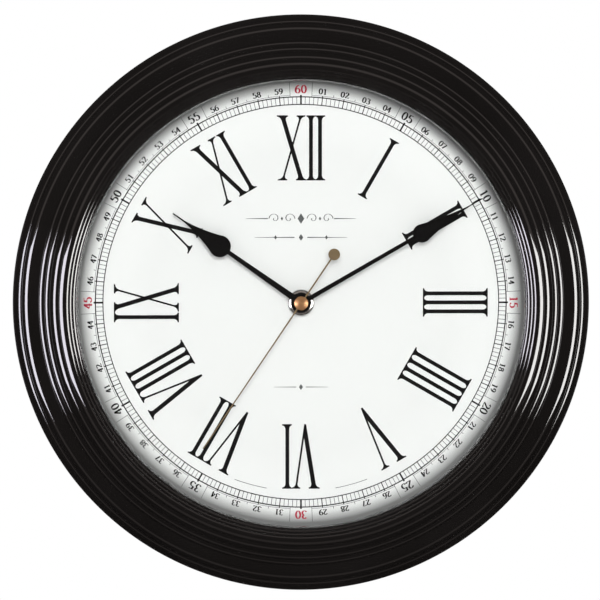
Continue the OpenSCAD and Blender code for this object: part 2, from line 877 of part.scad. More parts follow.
module setting_knob() {
    knob_t = movement_gap - 2.4;
    knob_z = movement_z - 0.6 - knob_t;
    grips = 20;
    color([0.93, 0.93, 0.9])
    stand() {
        translate([setting_at[0], setting_at[1], knob_z])
            linear_extrude(knob_t)
                polygon([for (i = [0:grips - 1], k = [0:3])
                    polar(knob_r - (k < 2 ? 0 : 0.5), (i + k / 4) * 360 / grips)]);
        rod(setting_at, knob_z + knob_t - eps, minute_pinion_z, setting_r);
        gear(setting_at, minute_pinion_z - 0.1, wheel_t + 0.2, setting_teeth, motion_module,
            setting_phase);
        rod(setting_at, minute_pinion_z + wheel_t, pivot_front, pivot_r);
    }
}

// --- Hands -----------------------------------------------------------------------

// One hand, pointing up: a tapered arm, a drop and a tip, on a round boss. widths are
// those of the arm at the boss, of the arm at the drop and of the tip.
module drop_hand(tip, drop_y, drop_r, boss, bore, widths) {
    foot = widths[0] / 2;
    neck = widths[1] / 2;
    difference() {
        union() {
            cylinder(h = hand_t, r = boss, $fn = 72);
            linear_extrude(hand_t)
                polygon([[-foot, 0], [-neck, drop_y], [neck, drop_y], [foot, 0]]);
            translate([0, drop_y, 0])
                cylinder(h = hand_t, r = drop_r, $fn = 72);
            linear_extrude(hand_t)
                polygon(drop_tip(tip, drop_y, drop_r, widths[2]));
        }
        translate([0, 0, -1])
            cylinder(h = hand_t + 2, r = bore, $fn = small_fn);
    }
}

// Sides that start just inside the drop and draw in to the tip with a hollow curve
function drop_tip(tip, drop_y, drop_r, tip_w) =
    let(steps = 14, low = drop_y + drop_r * 0.17, run = tip - low,
        side = [for (i = [0:steps]) let(t = i / steps)
            [max(tip_w / 2, drop_r * 0.98 * pow(1 - t, 1.9)), low + t * run]])
    concat(side, [for (i = [steps:-1:0]) [-side[i][0], side[i][1]]]);

module hour_hand() {
    tip = opening_r - hour_tip_gap;
    color([0.04, 0.04, 0.04])
    stand()
        translate([0, 0, hour_hand_z])
            rotate([0, 0, -hour_angle])
                drop_hand(tip, tip * hour_drop_share, hour_drop_r, hour_pipe_r + hour_boss_w,
                    hour_pipe_r + seat_gap, hour_arm);
}

module hour_collar() {
    color([0.04, 0.04, 0.04])
    stand()
        ring(hour_collar_z, collar_t, hour_pipe_r + collar_w, hour_pipe_r + seat_gap, small_fn);
}

module minute_hand() {
    tip = opening_r - minute_tip_gap;
    color([0.04, 0.04, 0.04])
    stand()
        translate([0, 0, minute_hand_z])
            rotate([0, 0, -minute_angle])
                drop_hand(tip, tip * minute_drop_share, minute_drop_r,
                    minute_pipe_r + minute_boss_w, minute_pipe_r + seat_gap, minute_arm);
}

module minute_collar() {
    color([0.04, 0.04, 0.04])
    stand()
        ring(minute_collar_z, collar_t, minute_pipe_r + collar_w, minute_pipe_r + seat_gap,
            small_fn);
}

module second_hand() {
    tip = opening_r - second_tip_gap;
    tail = 31.2;
    tail_r = 3.1;
    boss = 2.2;
    tip_share = 0.35;
    color([0.54, 0.45, 0.31])
    stand()
        translate([0, 0, second_hand_z])
            difference() {
                rotate([0, 0, -second_angle]) {
                    linear_extrude(second_t)
                        polygon([[-second_w / 2, -tail], [-second_w * tip_share, tip],
                            [second_w * tip_share, tip], [second_w / 2, -tail]]);
                    cylinder(h = second_t, r = boss, $fn = small_fn);
                    translate([0, -tail, 0])
                        cylinder(h = second_t, r = tail_r, $fn = small_fn);
                }
                translate([0, 0, -1])
                    cylinder(h = second_t + 2, r = second_arbor_r + seat_gap, $fn = small_fn);
            }
}

module second_cap() {
    color([0.75, 0.55, 0.35])
    stand()
        difference() {
            rotate_extrude($fn = 72)
                intersection() {
                    translate([0, cap_z + cap_h - cap_dome_r])
                        circle(r = cap_dome_r, $fn = 96);
                    translate([0, cap_z])
                        square([cap_r, cap_h + 1]);
                }
            rod([0, 0], cap_z - 1, cap_z + arbor_in_cap + seat_gap, second_arbor_r + seat_gap);
        }
}

case_frame();
lens_gasket();
lens_glass();
spacer_ring();
dial();
back_plate();
back_screws();
hanger_plate();
hanger_screws();
movement_case();
movement_cover();
train_bridge();
centre_bush();
rubber_washer();
nut_washer();
hand_nut();
stator();
coil_bobbin();
coil_winding();
circuit_board();
quartz_crystal();
chip_cap();
contact_positive();
contact_negative();
battery();
rotor_pinion();
rotor_magnet();
step_wheel();
second_wheel();
third_wheel();
centre_wheel();
minute_pipe();
motion_wheel();
hour_wheel();
setting_knob();
hour_hand();
hour_collar();
minute_hand();
minute_collar();
second_hand();
second_cap();
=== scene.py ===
"""Looks of a round wall clock: materials, dial printing, light and camera."""

import json
import math

import bpy
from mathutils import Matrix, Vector
from mathutils.geometry import tessellate_polygon


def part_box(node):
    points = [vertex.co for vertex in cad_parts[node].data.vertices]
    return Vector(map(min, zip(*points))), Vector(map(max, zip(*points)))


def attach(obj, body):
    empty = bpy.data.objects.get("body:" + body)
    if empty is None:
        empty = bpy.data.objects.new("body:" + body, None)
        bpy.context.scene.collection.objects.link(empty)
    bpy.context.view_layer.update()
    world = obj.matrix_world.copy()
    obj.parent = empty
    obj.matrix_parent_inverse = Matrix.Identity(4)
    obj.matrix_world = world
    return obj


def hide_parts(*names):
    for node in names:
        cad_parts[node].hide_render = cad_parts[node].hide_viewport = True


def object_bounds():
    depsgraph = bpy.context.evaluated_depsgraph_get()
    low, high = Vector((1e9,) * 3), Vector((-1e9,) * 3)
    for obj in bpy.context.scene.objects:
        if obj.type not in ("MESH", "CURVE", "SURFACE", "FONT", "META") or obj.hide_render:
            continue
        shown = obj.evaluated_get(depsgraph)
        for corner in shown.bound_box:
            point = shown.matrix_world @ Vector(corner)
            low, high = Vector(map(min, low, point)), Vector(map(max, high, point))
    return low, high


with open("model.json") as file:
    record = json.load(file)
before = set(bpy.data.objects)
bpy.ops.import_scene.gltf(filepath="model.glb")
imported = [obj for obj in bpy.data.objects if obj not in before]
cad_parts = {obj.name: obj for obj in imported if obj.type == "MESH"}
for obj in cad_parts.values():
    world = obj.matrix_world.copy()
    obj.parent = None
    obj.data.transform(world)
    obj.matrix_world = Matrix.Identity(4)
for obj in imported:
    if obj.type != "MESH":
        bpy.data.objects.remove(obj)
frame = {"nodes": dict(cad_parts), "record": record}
cad_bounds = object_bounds()
nodes = frame["nodes"]

MM = 0.001
DIAL_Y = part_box("dial")[0].y  # the dial's printed face; the viewer is on its -Y side
INK_T = 0.02 * MM  # how far the ink stands proud of the dial
INK_SINK = 0.01 * MM  # how far its back lies inside the dial


# --- Node helpers ------------------------------------------------------------------

class Shader:
    """A material's node tree, with short names for the nodes that most finishes use.
    Scales are per metre; bump distances are in metres."""

    def __init__(self, name):
        self.mat = bpy.data.materials.new(name)
        self.mat.use_nodes = True
        self.tree = self.mat.node_tree
        self.bsdf = self.tree.nodes["Principled BSDF"]
        self.coords = self.add("ShaderNodeTexCoord").outputs["Object"]

    def add(self, kind, **settings):
        node = self.tree.nodes.new(kind)
        for key, value in settings.items():
            setattr(node, key, value)
        return node

    def link(self, source, target):
        self.tree.links.new(source, target)

    def set(self, **values):
        for key, value in values.items():
            self.bsdf.inputs[key.replace("_", " ")].default_value = value

    def stretched(self, scale):
        node = self.add("ShaderNodeMapping")
        node.inputs["Scale"].default_value = scale
        self.link(self.coords, node.inputs["Vector"])
        return node.outputs["Vector"]

    def noise(self, scale, detail=3.0, vector=None, roughness=0.5):
        node = self.add("ShaderNodeTexNoise")
        node.inputs["Scale"].default_value = scale
        node.inputs["Detail"].default_value = detail
        node.inputs["Roughness"].default_value = roughness
        self.link(vector or self.coords, node.inputs["Vector"])
        return node.outputs["Fac"]

    def ramp(self, value, stops):
        node = self.add("ShaderNodeValToRGB")
        elements = node.color_ramp.elements
        while len(elements) < len(stops):
            elements.new(0.5)
        for element, (at, colour) in zip(elements, stops):
            element.position = at
            element.color = (*colour, 1.0)
        self.link(value, node.inputs["Fac"])
        return node.outputs["Color"]

    def spread(self, value, low, high, span=(0.3, 0.7)):
        """Maps value, as it runs over span, to low..high."""
        node = self.add("ShaderNodeMapRange")
        node.inputs["From Min"].default_value = span[0]
        node.inputs["From Max"].default_value = span[1]
        node.inputs["To Min"].default_value = low
        node.inputs["To Max"].default_value = high
        self.link(value, node.inputs["Value"])
        return node.outputs["Result"]

    def bump(self, height, distance, strength=1.0, normal=None):
        node = self.add("ShaderNodeBump")
        node.inputs["Strength"].default_value = strength
        node.inputs["Distance"].default_value = distance
        self.link(height, node.inputs["Height"])
        if normal is not None:
            self.link(normal, node.inputs["Normal"])
        self.link(node.outputs["Normal"], self.bsdf.inputs["Normal"])
        return node.outputs["Normal"]

    def radius(self, centre=(0, 0)):
        """Distance from the axis that runs along Y through centre."""
        shift = self.add("ShaderNodeVectorMath", operation="SUBTRACT")
        shift.inputs[1].default_value = (centre[0], 0, centre[1])
        self.link(self.coords, shift.inputs[0])
        flat = self.add("ShaderNodeVectorMath", operation="MULTIPLY")
        flat.inputs[1].default_value = (1, 0, 1)
        self.link(shift.outputs["Vector"], flat.inputs[0])
        length = self.add("ShaderNodeVectorMath", operation="LENGTH")
        self.link(flat.outputs["Vector"], length.inputs[0])
        return length.outputs["Value"]


def shade(colour, factor):
    return tuple(min(1.0, c * factor) for c in colour)


def finish(name, colour, rough, metal=0.0, mottle=0.12, grain=900.0, depth=0.0,
           rough_swing=0.06, coat=0.0, specular=0.5):
    """A moulded, painted or cast finish: mottled colour, uneven gloss and, where it has
    depth, a fine grain."""
    s = Shader(name)
    cloud = s.noise(160.0, 4.0)
    s.link(s.ramp(cloud, [(0.3, shade(colour, 1 - mottle)), (0.7, shade(colour, 1 + mottle))]),
           s.bsdf.inputs["Base Color"])
    s.link(s.spread(s.noise(420.0, 3.0), rough - rough_swing, rough + rough_swing),
           s.bsdf.inputs["Roughness"])
    if depth:
        s.bump(s.noise(grain, 2.0), depth)
    s.set(Metallic=metal, Coat_Weight=coat, Specular_IOR_Level=specular)
    return s


def brushed(name, colour, rough, direction=(1, 1, 40), depth=2e-6):
    """Metal with fine lines along one direction."""
    s = Shader(name)
    lines = s.noise(300.0, 4.0, s.stretched(direction))
    s.link(s.ramp(lines, [(0.3, shade(colour, 0.82)), (0.7, shade(colour, 1.1))]),
           s.bsdf.inputs["Base Color"])
    s.link(s.spread(lines, rough - 0.08, rough + 0.1), s.bsdf.inputs["Roughness"])
    s.bump(lines, depth)
    s.set(Metallic=1.0)
    return s


def turned(name, colour, rough, pitch=0.18 * MM, centre=(0, 0), depth=3e-6):
    """Metal with the fine rings that a lathe leaves round an axis along Y."""
    s = Shader(name)
    wave = s.add("ShaderNodeMath", operation="SINE")
    scaled = s.add("ShaderNodeMath", operation="MULTIPLY")
    scaled.inputs[1].default_value = 2 * math.pi / pitch
    s.link(s.radius(centre), scaled.inputs[0])
    s.link(scaled.outputs[0], wave.inputs[0])
    s.link(s.ramp(s.noise(500.0, 4.0), [(0.3, shade(colour, 0.85)), (0.75, shade(colour, 1.1))]),
           s.bsdf.inputs["Base Color"])
    s.link(s.spread(s.noise(900.0), rough - 0.06, rough + 0.08), s.bsdf.inputs["Roughness"])
    s.bump(wave.outputs[0], depth, 0.4)
    s.set(Metallic=1.0)
    return s


GLASS_REFLECTS = 0.035  # share of light that the flat glass reflects, seen from the front


def clear_glass(name):
    """Flat clear glass: what is behind it, and a reflection that grows at grazing angles."""
    s = Shader(name)
    s.tree.nodes.remove(s.bsdf)
    clear = s.add("ShaderNodeBsdfTransparent")
    clear.inputs["Color"].default_value = (0.995, 0.998, 0.995, 1)
    gloss = s.add("ShaderNodeBsdfGlossy")
    gloss.inputs["Roughness"].default_value = 0.02
    facing = s.add("ShaderNodeLayerWeight")
    facing.inputs["Blend"].default_value = 0.5
    steep = s.add("ShaderNodeMath", operation="POWER")
    steep.inputs[1].default_value = 5.0
    s.link(facing.outputs["Facing"], steep.inputs[0])
    mix = s.add("ShaderNodeMixShader")
    s.link(s.spread(steep.outputs[0], GLASS_REFLECTS, 1.0, (0.0, 1.0)), mix.inputs["Fac"])
    s.link(clear.outputs["BSDF"], mix.inputs[1])
    s.link(gloss.outputs["BSDF"], mix.inputs[2])
    s.link(mix.outputs["Shader"], s.tree.nodes["Material Output"].inputs["Surface"])
    return s


SKIRT_Y = (-0.031, -0.027)  # depths over which the gloss turns satin behind the rim
SKIRT_ROUGH = 0.38


def frame_gloss(name):
    """Deep brown-black moulded gloss with a faint orange peel and a little dust haze.
    The skirt behind the widest rim is satin."""
    s = Shader(name)
    s.link(s.ramp(s.noise(14.0, 4.0),
                  [(0.35, (0.0036, 0.0031, 0.0029)), (0.7, (0.0060, 0.0052, 0.0050))]),
           s.bsdf.inputs["Base Color"])
    place = s.add("ShaderNodeSeparateXYZ")
    s.link(s.coords, place.inputs["Vector"])
    satin = s.spread(place.outputs["Y"], 0.0, SKIRT_ROUGH, SKIRT_Y)
    rough = s.add("ShaderNodeMath", operation="MAXIMUM")
    s.link(s.spread(s.noise(60.0, 5.0), 0.03, 0.07), rough.inputs[0])
    s.link(satin, rough.inputs[1])
    s.link(rough.outputs[0], s.bsdf.inputs["Roughness"])
    s.bump(s.noise(260.0, 2.0), 3e-6, 0.3)
    s.set(Specular_IOR_Level=0.5)
    return s


PAINTED_SHADE_R = (80, 120)  # radii, in mm, that the dial's painted shade is spread over
# Painted shade towards the lip, with a painted brightening just inside it: (radius in mm,
# brightness of the sheet)
DIAL_PAINTED_SHADE = ((80, 1.0), (104, 1.1), (110, 1.15), (112, 1.02), (114.4, 0.72), (116.4, 0.46),
              (117.6, 0.26))


def dial_white(name):
    """White lacquered sheet whose colour is darkened towards the lip as painted shade, and
    lightened just inside that as painted light.
    """
    s = Shader(name)
    paper = (0.735, 0.742, 0.735)
    inner, outer = PAINTED_SHADE_R
    stops = [((r - inner) / (outer - inner), shade(paper, level)) for r, level in DIAL_PAINTED_SHADE]
    # The sheet's colour carries painted shade towards the lip and a painted brightening from 104
    # to 112 mm
    edge = s.ramp(s.spread(s.radius(), 0, 1, (inner * MM, outer * MM)), stops)
    tone = s.add("ShaderNodeMixRGB", blend_type="MULTIPLY")
    tone.inputs["Fac"].default_value = 1.0
    s.link(edge, tone.inputs["Color1"])
    s.link(s.ramp(s.noise(900.0, 4.0), [(0.3, (0.985, 0.985, 0.985)), (0.7, (1, 1, 1))]),
           tone.inputs["Color2"])
    s.link(tone.outputs["Color"], s.bsdf.inputs["Base Color"])
    s.link(s.spread(s.noise(500.0), 0.5, 0.62), s.bsdf.inputs["Roughness"])
    s.bump(s.noise(2500.0, 2.0), 2e-6, 0.3)
    s.set(Specular_IOR_Level=0.15)
    return s


def copper_winding(name):
    """Close turns of enamelled wire round an axis along Z."""
    s = Shader(name)
    wave = s.add("ShaderNodeTexWave", bands_direction="Z")
    wave.inputs["Scale"].default_value = 900.0
    wave.inputs["Distortion"].default_value = 0.6
    s.link(s.coords, wave.inputs["Vector"])
    # Darker in the hollows between the turns: painted shade, laid over the bump
    s.link(s.ramp(wave.outputs["Fac"], [(0.1, (0.22, 0.07, 0.025)), (0.8, (0.62, 0.26, 0.11))]),
           s.bsdf.inputs["Base Color"])
    s.bump(wave.outputs["Fac"], 6e-5, 0.7)
    s.set(Metallic=0.9, Roughness=0.3)
    return s


def circuit_laminate(name):
    """Green solder mask with darker and lighter tracks under it."""
    s = Shader(name)
    tracks = s.add("ShaderNodeTexBrick")
    tracks.inputs["Scale"].default_value = 320.0
    tracks.inputs["Mortar Size"].default_value = 0.06
    tracks.inputs["Color1"].default_value = (0.02, 0.12, 0.05, 1)
    tracks.inputs["Color2"].default_value = (0.025, 0.15, 0.06, 1)
    tracks.inputs["Mortar"].default_value = (0.06, 0.28, 0.11, 1)
    s.link(s.stretched((1, 0, 1)), tracks.inputs["Vector"])
    s.link(tracks.outputs["Color"], s.bsdf.inputs["Base Color"])
    s.bump(tracks.outputs["Fac"], 2e-5, 0.4)
    s.set(Roughness=0.25)
    return s


def battery_jacket(name):
    """A printed sleeve: dark body, a copper-coloured band at the plus end, bare metal ends."""
    low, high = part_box("battery")
    s = Shader(name)
    along = s.add("ShaderNodeSeparateXYZ")
    s.link(s.coords, along.inputs["Vector"])
    band = s.ramp(s.spread(along.outputs["X"], 0, 1, (low.x, high.x)), [
        (0.0, (0.6, 0.6, 0.6)), (0.012, (0.012, 0.014, 0.018)), (0.72, (0.55, 0.3, 0.13)),
        (0.968, (0.6, 0.6, 0.6))])
    band.node.color_ramp.interpolation = "CONSTANT"
    s.link(band, s.bsdf.inputs["Base Color"])
    s.link(s.spread(s.noise(300.0), 0.2, 0.34), s.bsdf.inputs["Roughness"])
    s.bump(s.noise(700.0), 8e-6, 0.4)
    s.set(Metallic=0.55)
    return s


# What each slot is made of
MATERIALS = {
    "frame_gloss": frame_gloss,
    "gasket_rubber": lambda slot: finish(slot, (0.02, 0.02, 0.02), 0.7, grain=3000.0, depth=2e-5),
    "lens_glass": clear_glass,
    "spacer_black": lambda slot: finish(slot, (0.03, 0.03, 0.03), 0.55, grain=2500.0, depth=1e-5),
    "dial_white": dial_white,
    "back_plastic": lambda slot: finish(slot, (0.028, 0.028, 0.029), 0.5,
                                        grain=2200.0, depth=4e-5),
    "screw_steel": lambda slot: turned(slot, (0.62, 0.61, 0.58), 0.3),
    "hanger_steel": lambda slot: brushed(slot, (0.6, 0.6, 0.58), 0.32, (1, 1, 30)),
    "movement_plastic": lambda slot: finish(slot, (0.02, 0.02, 0.022), 0.42,
                                            grain=3200.0, depth=3e-5),
    "wheel_plastic": lambda slot: finish(slot, (0.78, 0.74, 0.6), 0.38,
                                         mottle=0.05, grain=2600.0, depth=8e-6),
    "bush_brass": lambda slot: turned(slot, (0.74, 0.55, 0.24), 0.24),
    "nut_gunmetal": lambda slot: turned(slot, (0.36, 0.35, 0.34), 0.16,
                                        pitch=0.3 * MM, depth=1.5e-6),
    "stator_steel": lambda slot: brushed(slot, (0.42, 0.41, 0.39), 0.42, (30, 1, 1)),
    "bobbin_plastic": lambda slot: finish(slot, (0.06, 0.2, 0.12), 0.4, grain=2600.0, depth=1e-5),
    "copper_wire": copper_winding,
    "board_laminate": circuit_laminate,
    "crystal_can": lambda slot: brushed(slot, (0.75, 0.75, 0.76), 0.2, (40, 1, 1)),
    "chip_epoxy": lambda slot: finish(slot, (0.012, 0.012, 0.012), 0.16, grain=1200.0, depth=1e-5),
    "contact_nickel": lambda slot: brushed(slot, (0.72, 0.7, 0.65), 0.22, (1, 1, 24)),
    "battery_jacket": battery_jacket,
    "magnet_grey": lambda slot: finish(slot, (0.16, 0.16, 0.17), 0.4,
                                       metal=0.8, grain=3000.0, depth=1e-5),
    "knob_plastic": lambda slot: finish(slot, (0.74, 0.74, 0.7), 0.42,
                                        mottle=0.05, grain=2600.0, depth=1e-5),
    "hand_black": lambda slot: finish(slot, (0.003, 0.003, 0.003), 0.16,
                                      grain=1800.0, depth=3e-6, specular=0.2),
    "second_bronze": lambda slot: finish(slot, (0.17, 0.115, 0.056), 0.34,
                                         metal=0.25, grain=2600.0, depth=4e-6),
    "cap_copper": lambda slot: finish(slot, (0.31, 0.155, 0.065), 0.4,
                                      metal=0.6, grain=2600.0, depth=3e-6),
    "ink_black": lambda slot: finish(slot, (0.0025, 0.0025, 0.0025), 0.4,
                                     grain=4000.0, depth=2e-6, specular=0.1),
    "ink_grey": lambda slot: finish(slot, (0.09, 0.095, 0.095), 0.4,
                                    grain=4000.0, depth=2e-6, specular=0.1),
    "ink_red": lambda slot: finish(slot, (0.44, 0.02, 0.045), 0.4,
                                   grain=4000.0, depth=2e-6, specular=0.1),
}
materials = {slot: make(slot).mat for slot, make in MATERIALS.items()}


# --- CAD nodes -----------------------------------------------------------------------

# Widths of the rounded edges, in mm
BEVELS = {"hour_hand": 0.12, "minute_hand": 0.12, "second_hand": 0.05, "nut_washer": 0.08,
          "movement_case": 0.3, "movement_cover": 0.3, "hanger_plate": 0.2, "back_plate": 0.35,
          "setting_knob": 0.15, "hour_collar": 0.1, "minute_collar": 0.1}
BEVEL_ANGLE = math.radians(40)
SMOOTH_ANGLE = math.radians(32)


def dress(node, slot):
    """Gives a CAD node its material, smooth shading and, where it has one, an edge radius."""
    piece = nodes[node]
    piece.data.materials.clear()
    piece.data.materials.append(materials[slot])
    for polygon in piece.data.polygons:
        polygon.use_smooth = True
    if node in BEVELS:
        bevel = piece.modifiers.new("edge", "BEVEL")
        bevel.width = BEVELS[node] * MM
        bevel.segments = 3
        bevel.limit_method = "ANGLE"
        bevel.angle_limit = BEVEL_ANGLE
        bevel.harden_normals = False
    split = piece.modifiers.new("split", "EDGE_SPLIT")
    split.split_angle = SMOOTH_ANGLE
    split.use_edge_sharp = False


for entry in frame["record"]["subparts"]:
    dress(entry["node"], entry["material_slot"])


# --- The moulded frame ---------------------------------------------------------------

# The moulding's front, step by step from the crest. Each step lists (radius on the clock,
# slope in degrees) and ends with the height, in mm, of the wall down to the next groove.
CREST_H = 46.7
OUTER_STEPS = (
    ([(124.2, 0), (124.9, 11), (126.25, 23), (127.3, 34), (127.7, 70)], 0.3),
    ([(128.0, 4), (129.2, 14), (129.85, 23), (130.5, 32), (130.7, 36), (132.2, 38),
      (132.5, 75)], 0.3),
    ([(132.75, 2), (133.5, 11), (134.15, 23), (134.85, 36), (135.4, 72)], 0.3),
    ([(135.8, 2), (136.7, 11), (137.35, 23), (138.05, 36), (138.5, 72)], 0.4),
    ([(138.85, -2), (142.5, 3), (144.0, 12), (144.95, 23), (145.9, 34), (146.9, 48),
      (147.5, 72)], 0.6),
    ([(147.75, 2), (148.1, 11), (148.7, 23), (149.3, 36), (149.75, 70)], 0.6),
    ([(150.0, 38), (151.3, 50), (152.2, 70)], 0.3),
)
INNER_STEPS = (
    ([(124.2, 0), (123.8, 8), (123.55, 18), (122.8, 34), (122.6, 48), (122.45, 70)], 0.4),
    ([(122.2, -6), (121.9, 8), (121.75, 18), (121.1, 34), (120.9, 48), (120.75, 70)], 0.45),
    ([(120.5, -6), (120.2, 8), (120.05, 18), (119.4, 34), (119.2, 48), (119.05, 70)], 0.45),
    ([(118.8, 8), (118.45, 40), (118.2, 74), (117.62, 80)], 0.3),
)
# Radii of the lip, the widest rim and the skirt's rear edge, in mm
LIP_R, EDGE_R, SKIRT_R = 117.6, 152.5, 147.0
# Heights over the wall, in mm: the lens seat, the widest rim and the dial's seat
SEAT_H, EDGE_H, DIAL_H = 38.7, 31.2, 23.5
LIP_T = 1.2  # the lip's own thickness over the lens seat
# The well that holds the lens and the dial, and the frame's wall thickness
WELL_R, WELL_WALL_R, WALL = 122.2, 124.8, 2.6
# The hollow rear of the moulding: (radius, height of the front over it)
HOLLOW = ((137.6, 38.2), (134.6, 40.0), (130.3, 42.1), (127.0, 44.1))
HOLLOW_SHOULDER = (143.0, 34.4)
SLOPE_STEP = 3  # degrees of slope to a strip of the moulding
WALL_LEAN = 0.01  # a wall's outward lean, as a share of its step's width
RING_STEPS, RING_STEPS_QUICK = 900, 96
# The stretch of the walls is looked for in this range, halved so many times
STRETCH_RANGE, HALVINGS = (-4.0, 8.0), 40


def walk(steps, end_h):
    """Points down a flight of steps. The walls are stretched alike so that it ends at end_h."""
    def run(stretch):
        points, h = [], CREST_H
        for knots, wall in steps:
            r = knots[0][0]
            points.append((r, h))
            for (r0, a0), (r1, a1) in zip(knots, knots[1:]):
                pieces = max(2, int(abs(a1 - a0) / SLOPE_STEP))
                for i in range(pieces):
                    slope = math.radians(a0 + (a1 - a0) * (i + 0.5) / pieces)
                    h -= math.tan(slope) * abs(r1 - r0) / pieces
                    points.append((r0 + (r1 - r0) * (i + 1) / pieces, h))
            h -= wall * stretch
            lean = (knots[-1][0] - knots[0][0]) * WALL_LEAN
            points.append((points[-1][0] + lean, h))
        return points
    low, high = STRETCH_RANGE
    for _ in range(HALVINGS):
        mid = (low + high) / 2
        low, high = (mid, high) if run(mid)[-1][1] > end_h else (low, mid)
    return run(low)


def moulding_outline():
    outer = walk(OUTER_STEPS, EDGE_H)
    inner = walk(INNER_STEPS, SEAT_H + LIP_T)
    front = inner[:0:-1] + outer
    back = [(r, h - WALL) for r, h in HOLLOW]
    return ([(LIP_R, SEAT_H)] + front + [(EDGE_R, EDGE_H), (SKIRT_R, 0), (SKIRT_R - WALL, 0),
            (EDGE_R - WALL, EDGE_H - WALL / 2), HOLLOW_SHOULDER] + back
            + [(WELL_WALL_R, SEAT_H), (WELL_WALL_R, DIAL_H), (WELL_R, DIAL_H), (WELL_R, SEAT_H)])


def revolve(name, outline, steps, slot):
    """A closed ring of one material: outline is (radius, height from the wall) in mm."""
    verts, faces = [], []
    n = len(outline)
    for i in range(steps):
        a = 2 * math.pi * i / steps
        verts += [(r * math.sin(a) * MM, -h * MM, r * math.cos(a) * MM) for r, h in outline]
    for i in range(steps):
        j = (i + 1) % steps
        for k in range(n):
            l = (k + 1) % n
            faces.append((i * n + k, j * n + k, j * n + l, i * n + l))
    mesh = bpy.data.meshes.new(name)
    mesh.from_pydata(verts, [], faces)
    mesh.update()
    for polygon in mesh.polygons:
        polygon.use_smooth = True
    piece = bpy.data.objects.new(name, mesh)
    bpy.context.scene.collection.objects.link(piece)
    mesh.materials.append(materials[slot])
    creases = piece.modifiers.new("split", "EDGE_SPLIT")
    creases.split_angle = SMOOTH_ANGLE
    return piece


ring_steps = RING_STEPS
moulding = revolve("moulded_frame", moulding_outline(), ring_steps, "frame_gloss")
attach(moulding, "root")
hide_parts("case_frame")


# --- The hand nut --------------------------------------------------------------------

BORE_R = 4.02  # just clear of the 8 mm bush
NUT_STEPS = 96
# The nut's front, from its sunk middle to its rim: (radius, depth under the front), in mm
NUT_FRONT = ((BORE_R, 0.9), (4.9, 0.9), (5.05, 0.1), (5.3, 0), (5.5, 0.05), (6.0, 0.28),
             (6.5, 0.53), (6.75, 0.78), (6.9, 1.1))
NUT_EDGE_DEPTH = 1.5


def nut_outline():
    """A polished round nut: rounded rim, sloping face and a sunk middle round its bore."""
    low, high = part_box("hand_nut")
    base, top = -high.y / MM, -low.y / MM
    rim = high.x / MM
    return ([(BORE_R, base)] + [(r, top - depth) for r, depth in NUT_FRONT]
            + [(rim, top - NUT_EDGE_DEPTH), (rim, base)])


hand_nut = revolve("polished_nut", nut_outline(), NUT_STEPS, "nut_gunmetal")
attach(hand_nut, "root")
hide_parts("hand_nut")


# --- Dial printing -------------------------------------------------------------------

def polar(radius, clock_angle):
    """A point at an angle in degrees clockwise from twelve."""
    a = math.radians(clock_angle)
    return (radius * math.sin(a), radius * math.cos(a))


def turn(points, clock_angle):
    a = math.radians(clock_angle)
    c, s = math.cos(a), math.sin(a)
    return [(x * c + y * s, -x * s + y * c) for x, y in points]


